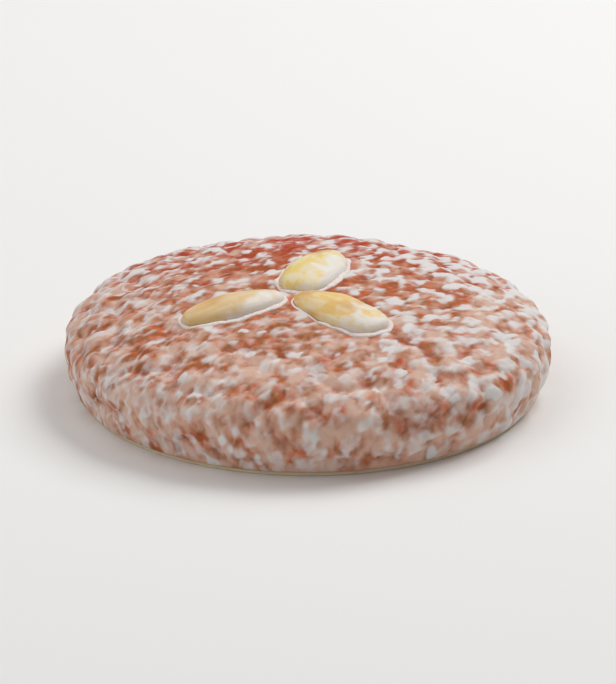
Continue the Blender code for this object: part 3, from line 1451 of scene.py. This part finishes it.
@dataclass
class Collar:
    """The bead of dried glaze drawn up round an almond's outline.

    Args:
        sizes: The almond's form and place.
        dough: What it lies on.
        seed: Chooses where it swells.
        steps: Points round the outline.
        sides: Points round the bead.
        gap: How far its middle lies outside the outline.
        half: Half its size, where it is usual.
        usual: The share of that where it is neither swollen nor on the lee side.
        lee: Where the lee side is.
        lee_reach: How far away the lee side counts in full.
        lee_share: How much broader it is there.
        wave_size: The size of its swellings.
        wave_share: How strong they are.
        least_most: The least and the most of its share.
        sunk: How far its middle lies in the crust, in halves.
        wide: How broad its section is, in halves.
        high: How high its section is, in halves.
    """

    sizes: AlmondSizes
    dough: Dough
    seed: int
    steps: int = 320
    sides: int = 18
    gap: float = 0.25 * MM
    half: float = 0.42 * MM
    usual: float = 0.75
    lee: Triple = (0.5, -0.8, 0)
    lee_reach: float = 8 * MM
    lee_share: float = 0.4
    wave_size: float = 4 * MM
    wave_share: float = 1.1
    least_most: Span = (0.45, 1.4)
    sunk: float = 0.3
    wide: float = 1.4
    high: float = 0.9

    def skin(self) -> Skin:
        """An oval section carried round the almond's outline.

        The section is low, more than half sunk in the crust, and its size follows a slow noise,
        so that it fades into the crust in places. It is broadest on the lee side.

        Returns:
            The closed ring.
        """
        turn = turned_about(self.steps)
        along = np.cos(turn)
        own = np.zeros((self.steps, 3))
        own[:, 0] = along * self.sizes.length / 2
        own[:, 1] = np.sign(np.sin(turn)) * self.sizes.swell(along) * self.sizes.width / 2
        tangent = np.roll(own, -1, axis=0) - np.roll(own, 1, axis=0)
        outward = unit_rows(np.stack([tangent[:, 1], -tangent[:, 0], 0 * turn], axis=1))
        own += outward * self.gap
        path = self.sizes.world_place(own, self.dough)
        outward = self.sizes.world_place(own + outward, self.dough) - path
        lee = (path - self.sizes.axes(self.dough)[0]) @ np.array(self.lee) / self.lee_reach
        wave = Pattern(self.seed).layered(path, self.wave_size)
        share = self.usual + self.lee_share * lee + self.wave_share * wave
        size = self.half * np.clip(share, *self.least_most)
        path[:, 2] = self.dough.ground_height(path) - self.sunk * size
        around = turned_about(self.sides)
        wide = size[:, None] * self.wide * np.cos(around)
        high = size[:, None] * self.high * np.sin(around)
        points = (path[:, None, :] + outward[:, None, :] * wide[..., None]
                  + np.array([0, 0, 1]) * high[..., None])
        faces = tube_faces(self.steps, self.sides, closed=True)[:, ::-1]
        return Skin(points.reshape(-1, 3), [faces])


@dataclass
class Almond:
    """A blanched almond with its skin's wrinkles, dents and film of glaze, and its collar.

    Args:
        sizes: Its form and place.
        look: Its colours and film.
        dough: What it lies on.
        collar_glaze: What its collar is made of.
        rings: Sections along it.
        sides: Points round each section.
        wrinkle_size: The distance between wrinkles.
        wrinkle_draw: What lengths are multiplied by, to draw the wrinkles out lengthwise.
        wrinkle_depth: How deep they are.
        dent_size: The size of the dents.
        dent_depth: How deep they are.
        skin_sink: How far the whole skin lies inside the plain oval form.
        film_rise: How thick the film is at the most.
        side_reach: The distance that the film's side and the lee side are measured by.
        blot_size: The size of the film's blots.
        blot_share: How much they count.
        stain_size: The size of the tan stains.
        stain_draw: What lengths are multiplied by, to draw the stains out lengthwise.
        stain_share: How much they count.
        lee: Where the lee side is.
        lee_share: How much less tan there is on it, which is painted light on that side.
        tan_base: What is added to the stains.
        tan_span: From where to where the tan comes in.
    """

    sizes: AlmondSizes
    look: AlmondLook
    dough: Dough
    collar_glaze: bpy.types.Material
    rings: int = 150
    sides: int = 110
    wrinkle_size: float = 1.0 * MM
    wrinkle_draw: float = 0.16
    wrinkle_depth: float = 0.10 * MM
    dent_size: float = 5.5 * MM
    dent_depth: float = 0.45 * MM
    skin_sink: float = 0.12 * MM
    film_rise: float = 0.06 * MM
    side_reach: float = 8 * MM
    blot_size: float = 4 * MM
    blot_share: float = 0.22
    stain_size: float = 3 * MM
    stain_draw: float = 0.4
    stain_share: float = 0.3
    lee: Triple = (0.65, -0.7, -0.6)
    lee_share: float = 0.4
    tan_base: float = -0.05
    tan_span: Span = (0.0, 1.2)

    def _pattern(self, draw: AlmondDraw) -> Pattern:
        """One of the almond's patterns."""
        return Pattern(self.look.seed + draw)

    def _film_tan_and_light(self, own: Array) -> tuple[Array, Array]:
        """How thick the film of glaze is, and how tan the skin, both partly painted light.

        The film is a ramp of its cover, the way towards its side and blots: the lean to the lower
        side is partly painted light. The tan is a ramp of stains, less on the lee side, the lower
        front side, which is painted light.

        Args:
            own: Points of the plain form, in the almond's own axes.

        Returns:
            Both, from 0 to 1.
        """
        lit = self.sizes.world_place(own, self.dough) - self.sizes.axes(self.dough)[0]
        # Partly painted light: the film leans to the lower side.
        side = lit @ np.array(self.look.film_and_light_side) / self.side_reach
        blots = self._pattern(AlmondDraw.BLOTS).even(own @ TILT, self.blot_size, 3)
        film = ramp(self.look.film_cover + side + self.blot_share * blots, 0.0, 1.0)
        lee = lit @ np.array(self.lee) / self.side_reach
        drawn = own * np.array([self.stain_draw, 1, 1])
        stains = self._pattern(AlmondDraw.STAINS).even(drawn, self.stain_size)
        # Painted light: less tan on the lee side, the lower front.
        tan = self.tan_base - self.lee_share * lee + self.stain_share * stains
        return film, ramp(tan, *self.tan_span)

    def skin(self) -> Skin:
        """Oval sections along the almond, from its inner end to its outer one.

        The half width and half thickness follow the plan's swell, and dents and lengthwise
        wrinkles move the points along the sections. A fan closes each end.

        Returns:
            The closed skin.
        """
        turn = np.linspace(0, math.pi, self.rings + 2)[1:-1]
        along = -np.cos(turn)[:, None]
        around = turned_about(self.sides)[None, :]
        swell = self.sizes.swell(along)
        unit = np.stack([along + 0 * around, swell * np.cos(around), swell * np.sin(around)],
                        axis=-1).reshape(-1, 3)
        half = np.array([self.sizes.length, self.sizes.width, self.sizes.thickness]) / 2
        own = unit * half
        drawn = own * np.array([self.wrinkle_draw, 1, 1])
        wrinkle = self._pattern(AlmondDraw.WRINKLES).layered(drawn, self.wrinkle_size)
        dent = self._pattern(AlmondDraw.DENTS).bumps(own, self.dent_size)
        film, tan = self._film_tan_and_light(own)
        depth = self.wrinkle_depth * wrinkle + self.dent_depth * dent - self.skin_sink
        depth = (depth + self.film_rise * film) * np.repeat(swell[:, 0], self.sides)
        own = own + unit_rows(unit * np.array([0, 1, 1])) * depth[:, None]
        tips = np.array([[-half[0], 0, 0], [half[0], 0, 0]])
        points = self.sizes.world_place(np.concatenate([own, tips]), self.dough)
        ring, last = np.arange(self.sides), (self.rings - 1) * self.sides
        faces = [tube_faces(self.rings, self.sides, closed=False),
                 fan_faces(ring[::-1], len(own)), fan_faces(last + ring, len(own) + 1)]
        values = {"film": np.append(film, film[[0, -1]]), "tan": np.append(tan, tan[[0, -1]]),
                  "streak": np.append(wrinkle, [0, 0])}
        return Skin(points, faces, values)

    def build(self) -> list[bpy.types.Object]:
        """Builds the almond and its collar, in their finishes.

        Returns:
            The two pieces.
        """
        node = self.sizes.node
        collar = Collar(self.sizes, self.dough, self.look.seed + AlmondDraw.COLLAR)
        return [self.skin().put(f"{node}_blanched", self.look.finish.make(), Slot.ALMOND, [node]),
                collar.skin().put(f"{node}_collar", self.collar_glaze, Slot.CRUST)]


# ------------------------------------------------------------------ wafer

@dataclass
class Wafer:
    """The thin disc under the crust, with a fine grid pressed into its underside.

    Args:
        finish: What it looks like.
        rings: Rings of points on each of its two sides.
        sides: Points round each ring.
        lip_points: Points round the edge, the two on the flat sides among them.
        inner_share: Where the first ring lies, in shares of the flat part.
        wave_depth: How far its rim wanders, in shares of the radius.
        wave_reach: How fast it wanders: the radius at which its noise is read, in cells.
        wave_seed: Chooses how it wanders.
        grid_step: The distance between the grid's lines.
        grid_depth: How deep they are pressed.
        groove_span: How far from its line, in steps, a groove is deepest and has ended.
    """

    finish: WaferFinish
    rings: int = 90
    sides: int = 360
    lip_points: int = 9
    inner_share: float = 0.02
    wave_depth: float = 0.0015
    wave_reach: float = 8
    wave_seed: int = 9
    grid_step: float = 3.4 * MM
    grid_depth: float = 0.12 * MM
    groove_span: Span = (0.0, 0.2)

    def skin(self) -> Skin:
        """A round plate carried along its own outline.

        The outline runs from the middle of the underside, out, round the rim and back over the
        top. Grooves in the underside follow two crossing families of lines.

        Returns:
            The closed plate.
        """
        low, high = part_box("wafer")
        radius, thick = (high.x - low.x) / 2, high.z - low.z
        out = np.linspace(self.inner_share, 1, self.rings)
        edge = np.linspace(-math.pi / 2, math.pi / 2, self.lip_points)[1:-1]
        lip = thick / 2
        flat = radius - lip
        reach = np.concatenate([out * flat, flat + lip * np.cos(edge), out[::-1] * flat])
        height = np.concatenate([0 * out, lip + lip * np.sin(edge), 0 * out + thick])
        around = turned_about(self.sides)
        circle = np.stack([np.cos(around), np.sin(around), 0 * around], axis=1)
        wave = 1 + self.wave_depth * Pattern(self.wave_seed).bumps(self.wave_reach * circle, 1.0)
        points = np.stack([np.outer(reach, np.cos(around) * wave),
                           np.outer(reach, np.sin(around) * wave),
                           np.outer(height, np.ones(self.sides))], axis=-1)
        steps = points[..., :2] / self.grid_step
        to_line = np.abs(steps - np.round(steps)).min(axis=-1)
        under = (np.arange(len(reach)) < self.rings - 2)[:, None]
        points[..., 2] += under * self.grid_depth * (1 - ramp(to_line, *self.groove_span))
        points = points.reshape(-1, 3)
        ring, last = np.arange(self.sides), (len(reach) - 1) * self.sides
        faces = [tube_faces(len(reach), self.sides, closed=False),
                 fan_faces(ring[::-1], len(points)), fan_faces(last + ring, len(points) + 1)]
        return Skin(np.concatenate([points, [[0, 0, 0], [0, 0, thick]]]), faces)

    def build(self) -> list[bpy.types.Object]:
        """Builds the wafer in its finish."""
        return [self.skin().put("wafer_pressed", self.finish.make(), Slot.WAFER, ["wafer"])]


# ------------------------------------------------------------------ studio

def away(azimuth: float, elevation: float, distance: float) -> Vector:
    """A place seen from the middle.

    Args:
        azimuth: Degrees round from the front, 90 at the right.
        elevation: Degrees above the table.
        distance: How far away it is.

    Returns:
        The place.
    """
    turn, rise = math.radians(azimuth), math.radians(elevation)
    return distance * Vector((math.sin(turn) * math.cos(rise),
                              -math.cos(turn) * math.cos(rise), math.sin(rise)))


@dataclass(frozen=True)
class Lamp:
    """A square soft light that faces the middle.

    Args:
        name: Its name.
        azimuth: Degrees round from the front, 90 at the right.
        elevation: Degrees above the table.
        size: The side of the square.
        power: Its power in watts.
        distance: How far away it stands.
    """

    name: str
    azimuth: float
    elevation: float
    size: float
    power: float
    distance: float = 1.0

    def build(self) -> None:
        """Makes the light."""
        lamp = bpy.data.lights.new(self.name, "AREA")
        lamp.size = self.size
        lamp.energy = self.power
        stand = bpy.data.objects.new(self.name, lamp)
        stand.location = away(self.azimuth, self.elevation, self.distance)
        stand.rotation_euler = (-stand.location).to_track_quat("-Z", "Y").to_euler()
        bpy.context.scene.collection.objects.link(stand)


@dataclass(frozen=True)
class Studio:
    """A pale floor, soft lights and the camera at the photograph's angle.

    Args:
        azimuth: The camera's place, in degrees round from the front.
        elevation: The same, in degrees above the table.
        distance: How far it is from what it aims at.
        aim_height: How high above the middle of the floor it aims.
        focal_pixels: Its focal length, in pixels of the picture.
        long_side: The picture's long side, in pixels.
        sensor: The sensor's width, in millimetres.
        floor_size: The side of the floor.
        floor_colour: Its colour.
        floor_roughness: How dull it is.
        lamps: The lights.
        sky: How strong the even white light from all round is.
    """

    azimuth: float = -1.3
    elevation: float = 22.05
    distance: float = 1.147
    aim_height: float = 9.0 * MM
    focal_pixels: float = 6200
    long_side: int = 684
    sensor: float = 36.0
    floor_size: float = 6.0
    floor_colour: Colour = srgb(244, 243, 241)
    floor_roughness: float = 0.9
    lamps: tuple[Lamp, ...] = (
        Lamp("key", azimuth=130, elevation=50, size=0.6, power=6.5),
        Lamp("side", azimuth=-60, elevation=35, size=0.9, power=2.3),
        Lamp("back", azimuth=-130, elevation=60, size=0.9, power=2.1),
    )
    sky: float = 0.23

    def floor(self) -> None:
        """A plain floor at the height that the wafer rests on."""
        corners = np.array([[-1, -1, 0], [1, -1, 0], [1, 1, 0], [-1, 1, 0]]) * self.floor_size / 2
        plane = Skin(corners, [np.array([[0, 1, 2, 3]])]).build("floor")
        plane.data.materials.append(Recipe("floor").finish(
            {"Base Color": self.floor_colour, "Roughness": self.floor_roughness}))

    def camera(self) -> None:
        """The camera, aimed at the middle of the round."""
        lens = bpy.data.cameras.new("camera")
        lens.sensor_width = self.sensor
        lens.lens = self.focal_pixels * self.sensor / self.long_side
        stand = bpy.data.objects.new("camera", lens)
        back = away(self.azimuth, self.elevation, self.distance)
        stand.location = Vector((0, 0, self.aim_height)) + back
        stand.rotation_euler = (-back).to_track_quat("-Z", "Y").to_euler()
        bpy.context.scene.collection.objects.link(stand)
        bpy.context.scene.camera = stand

    def build(self) -> None:
        """Makes floor, lights, sky and camera."""
        self.floor()
        for lamp in self.lamps:
            lamp.build()
        world = bpy.data.worlds.new("sky")
        world.use_nodes = True
        background = world.node_tree.nodes["Background"]
        background.inputs["Color"].default_value = (1, 1, 1, 1)
        background.inputs["Strength"].default_value = self.sky
        bpy.context.scene.world = world
        bpy.context.scene.view_settings.view_transform = "Standard"
        self.camera()


# ------------------------------------------------------------------ assembly

def main() -> None:
    """Builds every piece and reports it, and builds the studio."""
    dough = Dough()
    collar_glaze = CollarFinish().make()
    assemblies: list[Round | Almond | Wafer] = [
        Round(dough, Sugar(), GlazeFinish(), ALMONDS),
        *(Almond(sizes, look, dough, collar_glaze) for sizes, look in zip(ALMONDS, LOOKS)),
        Wafer(WaferFinish()),
    ]
    for assembly in assemblies:
        for piece in assembly.build():
            log.info("%s: %d faces", piece.name, len(piece.data.polygons))
    Studio().build()


if __name__ == "__main__":
    logging.basicConfig(level=logging.INFO)
    main()
